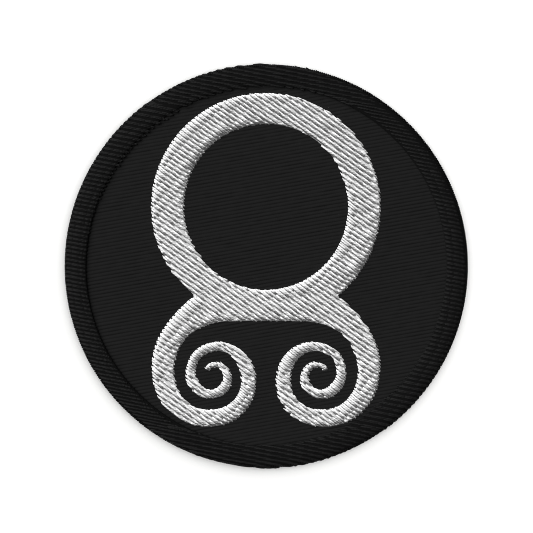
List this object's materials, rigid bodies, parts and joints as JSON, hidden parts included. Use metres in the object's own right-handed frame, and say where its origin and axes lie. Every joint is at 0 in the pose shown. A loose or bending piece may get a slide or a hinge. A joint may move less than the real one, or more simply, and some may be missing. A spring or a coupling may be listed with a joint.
{
  "type": "embroidered patch",
  "caption": "Round embroidered patch with a black twill ground, a raised thread border and a white ring emblem whose foot opens into inward scrolls.",
  "frame": {"origin": "centre of the patch, on the plane that its back rests on", "axes": "+Z out of the embroidered face, +Y to the top of the emblem, +X to its right seen from the front"},
  "size_m": [0.0762, 0.0762, 0.0025],
  "materials": {
    "twill": "matte black polyester twill",
    "border_thread": "black polyester embroidery thread",
    "emblem_thread": "white polyester embroidery thread"
  },
  "bodies": {
    "root": {"base_cloth": "twill", "edge_border": "border_thread", "emblem": "emblem_thread"}
  },
  "joints": []
}
